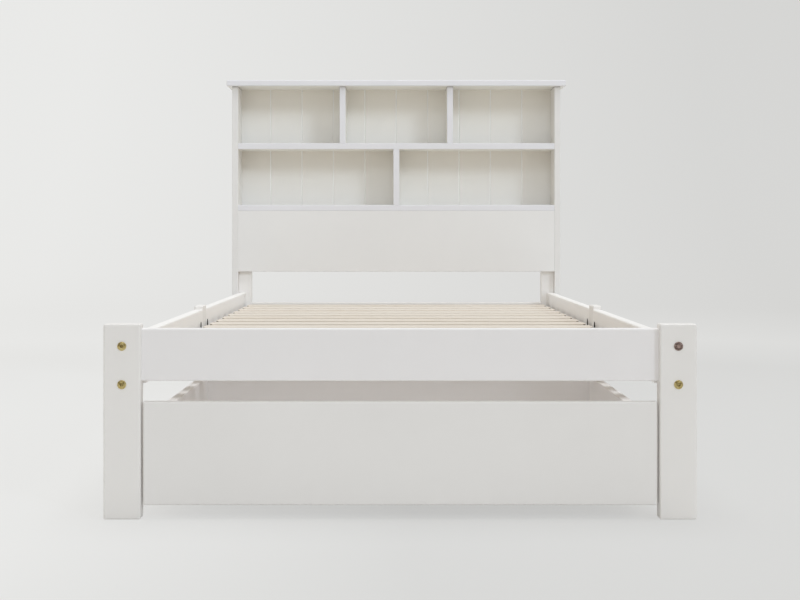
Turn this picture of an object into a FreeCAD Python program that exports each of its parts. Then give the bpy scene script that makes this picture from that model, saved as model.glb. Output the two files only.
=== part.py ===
import FreeCAD, Part
import math
import os
from FreeCAD import Vector

# Single bed with a bookcase headboard and a castor drawer under the foot end.
# Millimetres. X runs across the bed, Y from the foot to the head, Z up from the floor.
# The origin is on the floor, in the middle of the outline.

os.makedirs("parts", exist_ok=True)

# ---- driving dimensions ----

# the mattress and its room
mattress_width = 900.0
mattress_length = 1900.0
mattress_side_gap = 4.0
mattress_end_gap = 3.0

# foot posts, and the mid legs cut from the same stock
post_width = 62.0
post_depth = 30.0
post_height = 326.0
post_edge = 3.0

# rails of the frame
rail_thickness = 20.0
rail_height = 88.0
rail_edge = 3.0
foot_rail_drop = 8.0
side_rail_drop = 25.0
mid_leg_rise = 8.5

# bookcase headboard
bookcase_height = 938.0
bookcase_depth = 120.0
board_thickness = 18.0
board_edge = 1.5
top_overhang = 15.0
side_board_gap = 0.5
upper_bay_height = 170.0
lower_bay_height = 167.0
drop_panel_height = 182.0
drop_panel_clearance = 3.0

# matched boards of the back
back_board_width = 96.5
back_strip_least = 20.0
back_thickness = 12.0
tongue_length = 6.0
tongue_thickness = 4.0
tongue_clearance = 0.2
vee_depth = 2.0

# head legs and the rail between them
head_leg_width = 38.0
head_leg_depth = 30.0
head_rail_above_slats = 6.5

# slats on their cleats
slat_count = 15
slat_width = 70.0
slat_thickness = 18.0
slat_edge = 3.0
slat_end_gap = 12.0
slat_foot_gap = 93.0
slat_head_gap = 11.0
cleat_width = 25.0
cleat_height = 23.0
cleat_rise = 12.0

# bed bolts and barrel nuts
bolt_radius = 3.0
bolt_head_radius = 7.5
bolt_head_height = 3.0
bolt_crown_share = 0.7
bolt_socket_flats = 5.0
bolt_socket_depth = 2.4
bolt_hole_clearance = 0.3
bore_run_past = 1.0
bolt_from_rail_edge = 12.0
barrel_radius = 5.0
barrel_length = 14.0
barrel_from_rail_end = 30.0
thread_clearance = 0.05
bolt_end_past_barrel = 4.0

# studs through the mid legs, with nuts in pockets of the side rails
stud_radius = 4.0
stud_end_past_nut = 4.0
nut_flats = 13.0
nut_height = 6.5
pocket_clearance = 1.0
pocket_length = 22.0
pocket_height = 36.0
pocket_from_rail_end = 18.0

# dowels
dowel_radius = 4.0
dowel_length = 30.0
dowel_in_face = 12.0
dowel_clearance = 0.1
dowel_end_clearance = 1.0
dowel_from_edge = 24.0

# slat screws
screw_radius = 2.0
screw_head_radius = 4.0
screw_length = 32.0
screw_clearance = 0.1

# drawer
drawer_setback = 5.0
drawer_post_gap = 3.0
drawer_floor_gap = 23.0
drawer_front_height = 173.0
drawer_front_thickness = 18.0
drawer_front_edge = 3.0
drawer_front_lip = 30.0
drawer_depth = 516.0
drawer_wall = 16.0
drawer_wall_edge = 2.0
drawer_wall_drop = 6.0
drawer_base_thickness = 6.0
drawer_groove_depth = 6.0
drawer_rebate_depth = 8.0
batten_width = 60.0
batten_thickness = 18.0
front_batten_inset = 87.0
rear_batten_inset = 35.0

# castors
wheel_radius = 15.0
wheel_width = 14.0
wheel_edge = 2.5
wheel_hub_radius = 5.5
wheel_rim_thickness = 3.5
wheel_web_recess = 3.0
wheel_side_clearance = 0.6
wheel_top_clearance = 3.0
axle_radius = 2.0
axle_running_clearance = 0.05
axle_head_radius = 3.5
axle_head_height = 1.2
bracket_thickness = 2.0
bracket_plate_width = 46.0
bracket_plate_length = 46.0
bracket_corner_radius = 8.0
bracket_ear_top = 26.0
bracket_ear_radius = 6.0
castor_from_wall = 45.0

# ---- worked-out places ----

sides = {"left": -1, "right": 1}

# across the bed
rail_inner = mattress_width / 2 + mattress_side_gap
rail_outer = rail_inner + rail_thickness
rail_middle = (rail_inner + rail_outer) / 2
post_inner = rail_middle - post_width / 2
post_outer = rail_middle + post_width / 2
side_board_inner = rail_outer + side_board_gap
side_board_outer = side_board_inner + board_thickness
head_leg_inner = side_board_inner - head_leg_width
slat_end = rail_inner - slat_end_gap
cleat_inner = rail_inner - cleat_width

# along the bed
mattress_room = mattress_length + 2 * mattress_end_gap
bed_length = post_depth + mattress_room + bookcase_depth
foot_face = (bolt_head_height - bed_length) / 2
foot_rail_back = foot_face + post_depth
foot_rail_front = foot_rail_back - rail_thickness
bookcase_back = foot_face + bed_length
bookcase_front = bookcase_back - bookcase_depth
back_face = bookcase_back - back_thickness
head_leg_front = bookcase_front + board_thickness
head_leg_back = head_leg_front + head_leg_depth
head_rail_back = head_leg_front + rail_thickness
seam = (foot_rail_back + head_leg_front) / 2
mid_leg_front = seam - post_width / 2
mid_leg_back = seam + post_width / 2

# heights of the frame
foot_rail_top = post_height - foot_rail_drop
foot_rail_bottom = foot_rail_top - rail_height
side_rail_top = post_height - side_rail_drop
side_rail_bottom = side_rail_top - rail_height
side_rail_middle = (side_rail_top + side_rail_bottom) / 2
cleat_bottom = side_rail_bottom + cleat_rise
cleat_top = cleat_bottom + cleat_height
slat_top = cleat_top + slat_thickness
head_rail_top = slat_top + head_rail_above_slats
head_rail_bottom = head_rail_top - rail_height
bolt_heights = (side_rail_bottom + bolt_from_rail_edge, side_rail_top - bolt_from_rail_edge)

# heights of the bookcase, from its top down
top_board_bottom = bookcase_height - board_thickness
middle_shelf_top = top_board_bottom - upper_bay_height
middle_shelf_bottom = middle_shelf_top - board_thickness
lower_shelf_top = middle_shelf_bottom - lower_bay_height
lower_shelf_bottom = lower_shelf_top - board_thickness
drop_panel_bottom = lower_shelf_bottom - drop_panel_height
drop_panel_corner = max(drop_panel_bottom, side_rail_top + drop_panel_clearance)

# dividers
upper_bay_width = (2 * side_board_inner - 2 * board_thickness) / 3
upper_divider_middle = (upper_bay_width + board_thickness) / 2

# drawer
drawer_face = foot_face + drawer_setback
drawer_front_back = drawer_face + drawer_front_thickness
drawer_back_face = drawer_face + drawer_depth
drawer_inner_back = drawer_back_face - drawer_wall
drawer_front_half = post_inner - drawer_post_gap
drawer_front_top = drawer_floor_gap + drawer_front_height
drawer_outer = drawer_front_half - drawer_front_lip
drawer_inner = drawer_outer - drawer_wall
drawer_wall_top = drawer_front_top - drawer_wall_drop
bracket_top = 2 * wheel_radius + wheel_top_clearance + bracket_thickness
base_bottom = bracket_top + batten_thickness
base_top = base_bottom + drawer_base_thickness
front_batten_middle = drawer_front_back + front_batten_inset + batten_width / 2
rear_batten_middle = drawer_inner_back - rear_batten_inset - batten_width / 2
castor_x = drawer_inner - castor_from_wall
ear_inner = wheel_width / 2 + wheel_side_clearance
ear_outer = ear_inner + bracket_thickness

# studs
pocket_depth = nut_flats + 2 * pocket_clearance
stud_x = rail_inner + pocket_depth / 2

# axis numbers, for picking edges and coordinates
across, along, up = range(3)

# an edge is rounded by no more than this share of the board it is on
largest_edge_share = 0.4

pieces = {}
holes = {}
dowels = []


# ---- small helpers ----

def block(x_span, y_span, z_span):
    """A board between two places along each axis, given in either order."""
    low = Vector(min(x_span), min(y_span), min(z_span))
    high = Vector(max(x_span), max(y_span), max(z_span))
    size = high - low
    return Part.makeBox(size.x, size.y, size.z, low)


def soften(shape, radius, direction, axis=None, place=None):
    """Rounds the straight edges that run in one direction, or those of them at one place on an axis."""
    chosen = []
    for edge in shape.Edges:
        if abs(edge.tangentAt(edge.FirstParameter)[direction]) < 0.999:
            continue
        if axis is not None and abs(edge.CenterOfMass[axis] - place) > 0.01:
            continue
        chosen.append(edge)
    box = shape.BoundBox
    thinnest = min(box.XLength, box.YLength, box.ZLength)
    return shape.makeFillet(min(radius, largest_edge_share * thinnest), chosen)


def soften_all(shape, radius):
    """Rounds every edge of a plain board."""
    box = shape.BoundBox
    thinnest = min(box.XLength, box.YLength, box.ZLength)
    return shape.makeFillet(min(radius, largest_edge_share * thinnest), shape.Edges)


def drill(cutter, *names):
    """Notes a hole that the named pieces share."""
    for name in names:
        holes.setdefault(name, []).append(cutter)


def dowel(joint, direction, face_piece, end_piece):
    """A dowel across a joint; direction points from the drilled face into the end grain."""
    start = joint - direction * dowel_in_face
    dowels.append(Part.makeCylinder(dowel_radius, dowel_length, start, direction))
    hole_start = start - direction * dowel_end_clearance
    hole_length = dowel_length + 2 * dowel_end_clearance
    hole = Part.makeCylinder(dowel_radius + dowel_clearance, hole_length, hole_start, direction)
    drill(hole, face_piece, end_piece)


def hexagon(centre, flats, height, direction):
    """A hexagonal prism that grows from its centre point in the given direction."""
    prism_radius = flats / math.sqrt(3)
    first = Vector(0, 0, 1) if abs(direction.z) < 0.5 else Vector(1, 0, 0)
    second = direction.cross(first)
    corners = []
    for step in range(6):
        angle = math.radians(60 * step)
        corners.append(centre + (first * math.cos(angle) + second * math.sin(angle)) * prism_radius)
    outline = Part.makePolygon(corners + corners[:1])
    return Part.Face(outline).extrude(direction * height)


def cylinder_between(radius, start, end):
    """A round bar from one point to another."""
    return Part.makeCylinder(radius, (end - start).Length, start, end - start)


# ---- foot end ----

def make_foot_end():
    for side, sign in sides.items():
        post = block((sign * post_inner, sign * post_outer), (foot_face, foot_rail_back), (0, post_height))
        pieces["foot_post_" + side] = soften_all(post, post_edge)
    rail = block(
        (-post_inner, post_inner), (foot_rail_front, foot_rail_back), (foot_rail_bottom, foot_rail_top))
    pieces["foot_rail"] = soften(rail, rail_edge, across)
    rail_y = (foot_rail_front + foot_rail_back) / 2
    for side, sign in sides.items():
        for height in (foot_rail_bottom + dowel_from_edge, foot_rail_top - dowel_from_edge):
            seat = Vector(sign * post_inner, rail_y, height)
            dowel(seat, Vector(-sign, 0, 0), "foot_post_" + side, "foot_rail")


# ---- side rails in two halves, with a leg between them ----

def nut_pocket(sign, middle_y):
    """A round-ended slot milled into a side rail's inner face."""
    depth_span = (sign * rail_inner, sign * (rail_inner + pocket_depth))
    half_length = pocket_length / 2
    straight = pocket_height / 2 - half_length
    slot = block(
        depth_span,
        (middle_y - half_length, middle_y + half_length),
        (side_rail_middle - straight, side_rail_middle + straight),
    )
    for end in (-straight, straight):
        start = Vector(sign * rail_inner, middle_y, side_rail_middle + end)
        slot = slot.fuse(Part.makeCylinder(half_length, pocket_depth, start, Vector(sign, 0, 0)))
    return slot.removeSplitter()


def make_side_rails():
    halves = {
        "front": (foot_rail_back, mid_leg_front),
        "rear": (mid_leg_back, head_leg_front),
    }
    for side, sign in sides.items():
        for half, span in halves.items():
            rail = block((sign * rail_inner, sign * rail_outer), span, (side_rail_bottom, side_rail_top))
            pieces["side_rail_" + half + "_" + side] = soften(rail, rail_edge, along)
        # the mid leg is as thick as the rails and rises a little above them
        leg = block(
            (sign * rail_inner, sign * rail_outer),
            (mid_leg_front, mid_leg_back),
            (0, side_rail_top + mid_leg_rise),
        )
        pieces["mid_leg_" + side] = soften_all(leg, post_edge)


def make_mid_studs():
    studs = []
    nuts = []
    pocket_wall = post_width / 2 + pocket_from_rail_end
    stud_half = pocket_wall + nut_height + stud_end_past_nut
    for side, sign in sides.items():
        middle = Vector(sign * stud_x, seam, side_rail_middle)
        reach = Vector(0, stud_half, 0)
        stud = cylinder_between(stud_radius, middle - reach, middle + reach)
        studs.append(stud)
        bore = cylinder_between(stud_radius + bolt_hole_clearance, middle - reach, middle + reach)
        drill(bore, "mid_leg_" + side, "side_rail_front_" + side, "side_rail_rear_" + side)
        for half, turn in (("front", -1), ("rear", 1)):
            pocket_middle = seam + turn * (pocket_wall + pocket_length / 2)
            drill(nut_pocket(sign, pocket_middle), "side_rail_" + half + "_" + side)
            seat = middle + Vector(0, turn * pocket_wall, 0)
            nut = hexagon(seat, nut_flats, nut_height, Vector(0, turn, 0))
            thread = Part.makeCylinder(
                stud_radius + thread_clearance, nut_height, seat, Vector(0, turn, 0))
            nuts.append(nut.cut(thread))
    pieces["mid_studs"] = Part.makeCompound(studs)
    pieces["mid_nuts"] = Part.makeCompound(nuts)


# ---- bed bolts with barrel nuts, at both ends of the side rails ----

def bed_bolt(face, direction, length):
    """A socket bolt with a low domed head that seats on the face; it points in the direction given."""
    shank = Part.makeCylinder(bolt_radius, length, face, direction)
    head = Part.makeCylinder(bolt_head_radius, bolt_head_height, face, direction * -1)
    crown = face - direction * bolt_head_height
    rim = [edge for edge in head.Edges if edge.Closed and edge.CenterOfMass.distanceToPoint(crown) < 0.01]
    head = head.makeFillet(bolt_crown_share * bolt_head_height, rim)
    socket = hexagon(crown, bolt_socket_flats, bolt_socket_depth, direction)
    return head.fuse(shank).cut(socket)


def make_bed_bolts():
    bolts = []
    barrels = []
    ends = (
        (foot_face, foot_rail_back, 1, "foot_post_", "side_rail_front_"),
        (head_leg_back, head_leg_front, -1, "head_leg_", "side_rail_rear_"),
    )
    for face_y, rail_end, turn, post_name, rail_name in ends:
        barrel_y = rail_end + turn * barrel_from_rail_end
        length = abs(barrel_y - face_y) + barrel_radius + bolt_end_past_barrel
        direction = Vector(0, turn, 0)
        for side, sign in sides.items():
            for height in bolt_heights:
                face = Vector(sign * rail_middle, face_y, height)
                bolts.append(bed_bolt(face, direction, length))
                hole_radius = bolt_radius + bolt_hole_clearance
                bore = Part.makeCylinder(hole_radius, length + bore_run_past, face, direction)
                drill(bore, post_name + side, rail_name + side)
                barrel_middle = Vector(sign * rail_middle, barrel_y, height)
                half_barrel = Vector(sign * barrel_length / 2, 0, 0)
                barrel = cylinder_between(
                    barrel_radius, barrel_middle - half_barrel, barrel_middle + half_barrel)
                thread_radius = bolt_radius + thread_clearance
                thread = Part.makeCylinder(thread_radius, length + bore_run_past, face, direction)
                barrels.append(barrel.cut(thread))
                mouth = Vector(sign * rail_inner, barrel_y, height)
                cross_bore = cylinder_between(
                    barrel_radius + bolt_hole_clearance, mouth, barrel_middle + half_barrel)
                drill(cross_bore, rail_name + side)
    pieces["bed_bolts"] = Part.makeCompound(bolts)
    pieces["bed_barrel_nuts"] = Part.makeCompound(barrels)


# ---- cleats, slats and their screws ----

def make_slats():
    cleat_halves = {"front": (foot_rail_back, seam), "rear": (seam, head_leg_front)}
    for side, sign in sides.items():
        for half, span in cleat_halves.items():
            pieces["slat_cleat_" + half + "_" + side] = block(
                (sign * cleat_inner, sign * rail_inner), span, (cleat_bottom, cleat_top))
    first = foot_rail_back + slat_foot_gap + slat_width / 2
    last = head_leg_front - slat_head_gap - slat_width / 2
    pitch = (last - first) / (slat_count - 1)
    screw_x = (cleat_inner + slat_end) / 2
    screws = []
    for number in range(slat_count):
        middle = first + number * pitch
        name = "slat_%02d" % (number + 1)
        slat_span = (middle - slat_width / 2, middle + slat_width / 2)
        slat = block((-slat_end, slat_end), slat_span, (cleat_top, slat_top))
        pieces[name] = soften(slat, slat_edge, across)
        half = "front" if middle < seam else "rear"
        for side, sign in sides.items():
            head = Vector(sign * screw_x, middle, slat_top)
            screws.append(countersunk_screw(head, 0))
            drill(countersunk_screw(head, screw_clearance), name, "slat_cleat_" + half + "_" + side)
    pieces["slat_screws"] = Part.makeCompound(screws)


def countersunk_screw(head, clearance):
    """A screw whose flat head lies level with the point given, or the hole for it."""
    cone_height = screw_head_radius - screw_radius
    down = Vector(0, 0, -1)
    cone = Part.makeCone(screw_head_radius + clearance, screw_radius + clearance, cone_height, head, down)
    shank = Part.makeCylinder(screw_radius + clearance, screw_length + clearance, head, down)
    return cone.fuse(shank).removeSplitter()


# ---- head legs and their cross rail ----

def make_head_legs():
    rail = block(
        (-head_leg_inner, head_leg_inner),
        (head_leg_front, head_rail_back),
        (head_rail_bottom, head_rail_top),
    )
    pieces["head_cross_rail"] = soften(rail, rail_edge, across)
    rail_y = (head_leg_front + head_rail_back) / 2
    leg_y = (head_leg_front + head_leg_back) / 2
    for side, sign in sides.items():
        leg = block(
            (sign * head_leg_inner, sign * side_board_inner),
            (head_leg_front, head_leg_back),
            (0, lower_shelf_bottom),
        )
        pieces["head_leg_" + side] = soften(leg, board_edge, up)
        for height in (head_rail_bottom + dowel_from_edge, head_rail_top - dowel_from_edge):
            dowel(Vector(sign * head_leg_inner, rail_y, height), Vector(-sign, 0, 0),
                  "head_leg_" + side, "head_cross_rail")
        leg_dowels = (
            side_rail_bottom - dowel_from_edge, drop_panel_bottom, lower_shelf_bottom - dowel_from_edge)
        for height in leg_dowels:
            dowel(Vector(sign * side_board_inner, leg_y, height), Vector(-sign, 0, 0),
                  "side_board_" + side, "head_leg_" + side)


# ---- bookcase ----

def make_bookcase():
    inside = (-side_board_inner, side_board_inner)
    top = block(
        (-side_board_outer - top_overhang, side_board_outer + top_overhang),
        (bookcase_front - top_overhang, bookcase_back),
        (top_board_bottom, bookcase_height),
    )
    pieces["top_board"] = soften_all(top, 2 * board_edge)
    for side, sign in sides.items():
        board = block(
            (sign * side_board_inner, sign * side_board_outer),
            (bookcase_front, bookcase_back),
            (0, top_board_bottom),
        )
        pieces["side_board_" + side] = soften(board, board_edge, up)
    shelves = {"middle_shelf": middle_shelf_bottom, "lower_shelf": lower_shelf_bottom}
    for name, bottom in shelves.items():
        shelf = block(inside, (bookcase_front, back_face), (bottom, bottom + board_thickness))
        pieces[name] = soften(shelf, board_edge, across, along, bookcase_front)
    panel = block(
        inside, (bookcase_front, bookcase_front + board_thickness), (drop_panel_bottom, lower_shelf_bottom))
    panel = soften(panel, board_edge, across, up, drop_panel_bottom)
    for sign in sides.values():
        # a panel that hangs lower than this one goes round the side rails
        panel = panel.cut(block(
            (sign * (rail_inner - drop_panel_clearance), sign * side_board_outer), (foot_face, bookcase_back),
            (0, side_rail_top + drop_panel_clearance)))
    pieces["drop_panel"] = panel

    def divider(middle, bottom, top_height):
        board = block(
            (middle - board_thickness / 2, middle + board_thickness / 2), (bookcase_front, back_face),
            (bottom, top_height))
        return soften(board, board_edge, up, along, bookcase_front)

    for side, sign in sides.items():
        middle = sign * upper_divider_middle
        pieces["upper_divider_" + side] = divider(middle, middle_shelf_top, top_board_bottom)
    pieces["lower_divider"] = divider(0, lower_shelf_top, middle_shelf_bottom)


def join_bookcase():
    down = Vector(0, 0, -1)
    rise = Vector(0, 0, 1)
    panel_y = bookcase_front + board_thickness / 2
    for row_y in (bookcase_front + dowel_from_edge, back_face - dowel_from_edge):
        for side, sign in sides.items():
            inward = Vector(-sign, 0, 0)
            board = "side_board_" + side
            for name, bottom in (("middle_shelf", middle_shelf_bottom), ("lower_shelf", lower_shelf_bottom)):
                height = bottom + board_thickness / 2
                dowel(Vector(sign * side_board_inner, row_y, height), inward, board, name)
            edge_x = sign * (side_board_inner + board_thickness / 2)
            dowel(Vector(edge_x, row_y, top_board_bottom), down, "top_board", board)
            divider_x = sign * upper_divider_middle
            dowel(Vector(divider_x, row_y, top_board_bottom), down, "top_board", "upper_divider_" + side)
            dowel(Vector(divider_x, row_y, middle_shelf_top), rise, "middle_shelf", "upper_divider_" + side)
        dowel(Vector(0, row_y, middle_shelf_bottom), down, "middle_shelf", "lower_divider")
        dowel(Vector(0, row_y, lower_shelf_top), rise, "lower_shelf", "lower_divider")
    for side, sign in sides.items():
        for height in (drop_panel_corner + dowel_from_edge, lower_shelf_bottom - 2 * dowel_from_edge):
            dowel(Vector(sign * side_board_inner, panel_y, height), Vector(-sign, 0, 0), "side_board_" + side,
                  "drop_panel")
    for x in (-upper_divider_middle, upper_divider_middle):
        dowel(Vector(x, panel_y, lower_shelf_bottom), down, "lower_shelf", "drop_panel")


def matched_board(left, right, has_groove, has_tongue):
    """One upright board of the back: vee edges in front, a groove on its left and a tongue on its right."""
    middle = (back_face + bookcase_back) / 2
    half_tongue = tongue_thickness / 2
    half_groove = half_tongue + tongue_clearance
    outline = [(left, bookcase_back), (right, bookcase_back)]
    if has_tongue:
        outline.append((right, middle + half_tongue))
        outline.append((right + tongue_length, middle + half_tongue))
        outline.append((right + tongue_length, middle - half_tongue))
        outline.append((right, middle - half_tongue))
        outline.append((right, back_face + vee_depth))
        outline.append((right - vee_depth, back_face))
    else:
        outline.append((right, back_face))
    if has_groove:
        groove_end = left + tongue_length + tongue_clearance
        outline.append((left + vee_depth, back_face))
        outline.append((left, back_face + vee_depth))
        outline.append((left, middle - half_groove))
        outline.append((groove_end, middle - half_groove))
        outline.append((groove_end, middle + half_groove))
        outline.append((left, middle + half_groove))
    else:
        outline.append((left, back_face))
    corners = [Vector(x, y, lower_shelf_bottom) for x, y in outline]
    face = Part.Face(Part.makePolygon(corners + corners[:1]))
    return face.extrude(Vector(0, 0, top_board_bottom - lower_shelf_bottom))


def make_back():
    # the boards are laid from the middle outwards, and the last on each side is trimmed to fit
    full_boards = int((side_board_inner - back_strip_least) / back_board_width)
    joints = [number * back_board_width for number in range(-full_boards, full_boards + 1)]
    joints = [-side_board_inner] + joints + [side_board_inner]
    last = len(joints) - 2
    boards = []
    for number, (left, right) in enumerate(zip(joints, joints[1:])):
        boards.append(matched_board(left, right, number > 0, number < last))
    pieces["back_boards"] = Part.makeCompound(boards)


# ---- drawer ----

def make_drawer():
    groove_front = drawer_front_back - drawer_groove_depth
    base_half = drawer_inner + drawer_groove_depth
    base_space = block((-base_half, base_half), (groove_front, drawer_back_face), (base_bottom, base_top))
    front = block(
        (-drawer_front_half, drawer_front_half), (drawer_face, drawer_front_back),
        (drawer_floor_gap, drawer_front_top))
    pieces["drawer_front"] = soften_all(front, drawer_front_edge)
    drill(base_space, "drawer_front", "drawer_side_left", "drawer_side_right")
    pieces["drawer_bottom"] = base_space
    back_half = drawer_inner + drawer_rebate_depth
    back = block((-back_half, back_half), (drawer_inner_back, drawer_back_face), (base_top, drawer_wall_top))
    for side, sign in sides.items():
        wall_span = (sign * drawer_inner, sign * drawer_outer)
        wall = block(wall_span, (groove_front, drawer_back_face), (bracket_top, drawer_wall_top))
        pieces["drawer_side_" + side] = soften(wall, drawer_wall_edge, along, up, drawer_wall_top)
        drill(back, "drawer_side_" + side)
        # each side is housed in the back of the front
        drill(pieces["drawer_side_" + side], "drawer_front")
    pieces["drawer_back"] = soften(back, drawer_wall_edge, across, up, drawer_wall_top)
    for name, middle in (("front", front_batten_middle), ("rear", rear_batten_middle)):
        pieces["drawer_batten_" + name] = block(
            (-drawer_inner, drawer_inner), (middle - batten_width / 2, middle + batten_width / 2),
            (bracket_top, base_bottom))


# ---- castors ----

def castor_bracket(x, y):
    """A folded steel bracket: a plate under the batten and two tapered ears that hold the axle."""
    plate_bottom = bracket_top - bracket_thickness
    bracket = block(
        (x - bracket_plate_width / 2, x + bracket_plate_width / 2),
        (y - bracket_plate_length / 2, y + bracket_plate_length / 2),
        (plate_bottom, bracket_top),
    )
    bracket = soften(bracket, bracket_corner_radius, up)
    for inner, outer in ((ear_inner, ear_outer), (-ear_outer, -ear_inner)):
        rounded_end = Part.Arc(
            Vector(x + inner, y + bracket_ear_radius, wheel_radius),
            Vector(x + inner, y, wheel_radius - bracket_ear_radius),
            Vector(x + inner, y - bracket_ear_radius, wheel_radius),
        )
        top_left = Vector(x + inner, y - bracket_ear_top / 2, plate_bottom)
        top_right = Vector(x + inner, y + bracket_ear_top / 2, plate_bottom)
        edges = [
            Part.LineSegment(top_right, rounded_end.StartPoint).toShape(),
            rounded_end.toShape(),
            Part.LineSegment(rounded_end.EndPoint, top_left).toShape(),
            Part.LineSegment(top_left, top_right).toShape(),
        ]
        ear = Part.Face(Part.Wire(edges)).extrude(Vector(outer - inner, 0, 0))
        bracket = bracket.fuse(ear)
    bore = cylinder_between(
        axle_radius + axle_running_clearance,
        Vector(x - ear_outer, y, wheel_radius),
        Vector(x + ear_outer, y, wheel_radius),
    )
    return bracket.cut(bore).removeSplitter()


def castor_axle(x, y):
    """A pin between the ears, headed on both sides."""
    pin = cylinder_between(
        axle_radius, Vector(x - ear_outer, y, wheel_radius), Vector(x + ear_outer, y, wheel_radius))
    for turn in (-1, 1):
        seat = Vector(x + turn * ear_outer, y, wheel_radius)
        pin = pin.fuse(Part.makeCylinder(axle_head_radius, axle_head_height, seat, Vector(turn, 0, 0)))
    return pin.removeSplitter()


def castor_wheel(x, y):
    """A moulded wheel, turned about its axle, with a rounded tread and dished sides."""
    half = wheel_width / 2
    bore = axle_radius + axle_running_clearance
    rim_inner = wheel_radius - wheel_rim_thickness
    web_half = half - wheel_web_recess
    corner = wheel_edge * (1 - math.sqrt(0.5))

    def at(offset, radius):
        return Vector(x + offset, y, wheel_radius + radius)

    half_outline = [
        (bore, half), (wheel_hub_radius, half), (wheel_hub_radius, web_half), (rim_inner, web_half),
        (rim_inner, half), (wheel_radius - wheel_edge, half),
    ]
    right = [at(offset, radius) for radius, offset in half_outline]
    left = [at(-offset, radius) for radius, offset in reversed(half_outline)]
    edges = [Part.LineSegment(a, b).toShape() for a, b in zip(right, right[1:])]
    right_end = at(half - wheel_edge, wheel_radius)
    left_end = at(-(half - wheel_edge), wheel_radius)
    edges.append(Part.Arc(right[-1], at(half - corner, wheel_radius - corner), right_end).toShape())
    edges.append(Part.LineSegment(right_end, left_end).toShape())
    edges.append(Part.Arc(left_end, at(-(half - corner), wheel_radius - corner), left[0]).toShape())
    edges += [Part.LineSegment(a, b).toShape() for a, b in zip(left, left[1:])]
    edges.append(Part.LineSegment(left[-1], right[0]).toShape())
    profile = Part.Face(Part.Wire(edges))
    return profile.revolve(Vector(x, y, wheel_radius), Vector(1, 0, 0), 360)


def make_castors():
    brackets = []
    axles = []
    for end, y in (("front", front_batten_middle), ("rear", rear_batten_middle)):
        for side, sign in sides.items():
            x = sign * castor_x
            brackets.append(castor_bracket(x, y))
            axles.append(castor_axle(x, y))
            pieces["castor_wheel_" + end + "_" + side] = castor_wheel(x, y)
    pieces["castor_brackets"] = Part.makeCompound(brackets)
    pieces["castor_axles"] = Part.makeCompound(axles)


# ---- build ----

make_foot_end()
make_side_rails()
make_mid_studs()
make_bed_bolts()
make_slats()
make_head_legs()
make_bookcase()
join_bookcase()
make_back()
make_drawer()
make_castors()
pieces["dowels"] = Part.makeCompound(dowels)

for name, cutters in holes.items():
    pieces[name] = pieces[name].cut(cutters)

for name, shape in pieces.items():
    shape.exportStep("parts/" + name + ".step")

print(len(pieces), "nodes,", sum(len(shape.Solids) for shape in pieces.values()), "solids")
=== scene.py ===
import math

import bmesh
import bpy
from mathutils import Matrix, Vector


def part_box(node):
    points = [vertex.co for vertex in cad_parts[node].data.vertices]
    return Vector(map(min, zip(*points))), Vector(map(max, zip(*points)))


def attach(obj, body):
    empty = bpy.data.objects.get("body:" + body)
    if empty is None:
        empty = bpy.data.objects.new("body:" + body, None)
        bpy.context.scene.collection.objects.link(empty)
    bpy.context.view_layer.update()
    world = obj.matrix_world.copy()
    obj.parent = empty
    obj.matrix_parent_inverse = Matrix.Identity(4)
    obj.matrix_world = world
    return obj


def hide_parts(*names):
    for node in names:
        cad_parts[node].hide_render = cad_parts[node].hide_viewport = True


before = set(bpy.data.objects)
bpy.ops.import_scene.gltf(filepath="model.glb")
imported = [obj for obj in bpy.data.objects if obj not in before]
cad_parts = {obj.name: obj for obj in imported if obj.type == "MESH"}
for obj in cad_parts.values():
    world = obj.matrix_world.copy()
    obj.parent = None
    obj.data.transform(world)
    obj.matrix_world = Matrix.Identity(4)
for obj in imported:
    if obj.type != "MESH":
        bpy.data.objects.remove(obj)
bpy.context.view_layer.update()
print("frame loaded:", len(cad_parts), "nodes")

mm = 0.001
sides = {"left": -1, "right": 1}


def newMaterial(name):
    material = bpy.data.materials.new(name)
    material.use_nodes = True
    tree = material.node_tree
    shader = tree.nodes["Principled BSDF"]
    return material, tree, shader


def addNode(tree, kind, **inputs):
    node = tree.nodes.new(kind)
    for socket, value in inputs.items():
        node.inputs[socket.replace("_", " ")].default_value = value
    return node


def objectCoords(tree, scale=(1, 1, 1)):
    coords = tree.nodes.new("ShaderNodeTexCoord")
    mapping = addNode(tree, "ShaderNodeMapping", Scale=scale)
    tree.links.new(coords.outputs["Object"], mapping.inputs["Vector"])
    return mapping.outputs["Vector"]


def takeApart(tree, vector):
    node = tree.nodes.new("ShaderNodeSeparateXYZ")
    tree.links.new(vector, node.inputs["Vector"])
    return node.outputs


def noise(tree, vector, scale, detail, roughness=0.55, distortion=0.0):
    node = addNode(
        tree, "ShaderNodeTexNoise",
        Scale=scale, Detail=detail, Roughness=roughness, Distortion=distortion)
    tree.links.new(vector, node.inputs["Vector"])
    return node.outputs["Fac"]


def ramp(tree, factor, stops):
    node = tree.nodes.new("ShaderNodeValToRGB")
    elements = node.color_ramp.elements
    while len(elements) < len(stops):
        elements.new(0.5)
    for element, (place, colour) in zip(elements, stops):
        element.position = place
        element.color = (*colour, 1.0)
    tree.links.new(factor, node.inputs["Fac"])
    return node.outputs["Color"]


def spread(tree, factor, target, source=(0, 1)):
    # the source range becomes the target range, and nothing goes past its ends
    node = tree.nodes.new("ShaderNodeMapRange")
    sockets = ("From Min", "From Max", "To Min", "To Max")
    for socket, value in zip(sockets, (*source, *target)):
        node.inputs[socket].default_value = value
    tree.links.new(factor, node.inputs["Value"])
    return node.outputs["Result"]


def calculate(tree, operation, *values):
    node = tree.nodes.new("ShaderNodeMath")
    node.operation = operation
    for socket, value in zip(node.inputs, values):
        if isinstance(value, (int, float)):
            socket.default_value = value
        else:
            tree.links.new(value, socket)
    return node.outputs[0]


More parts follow.
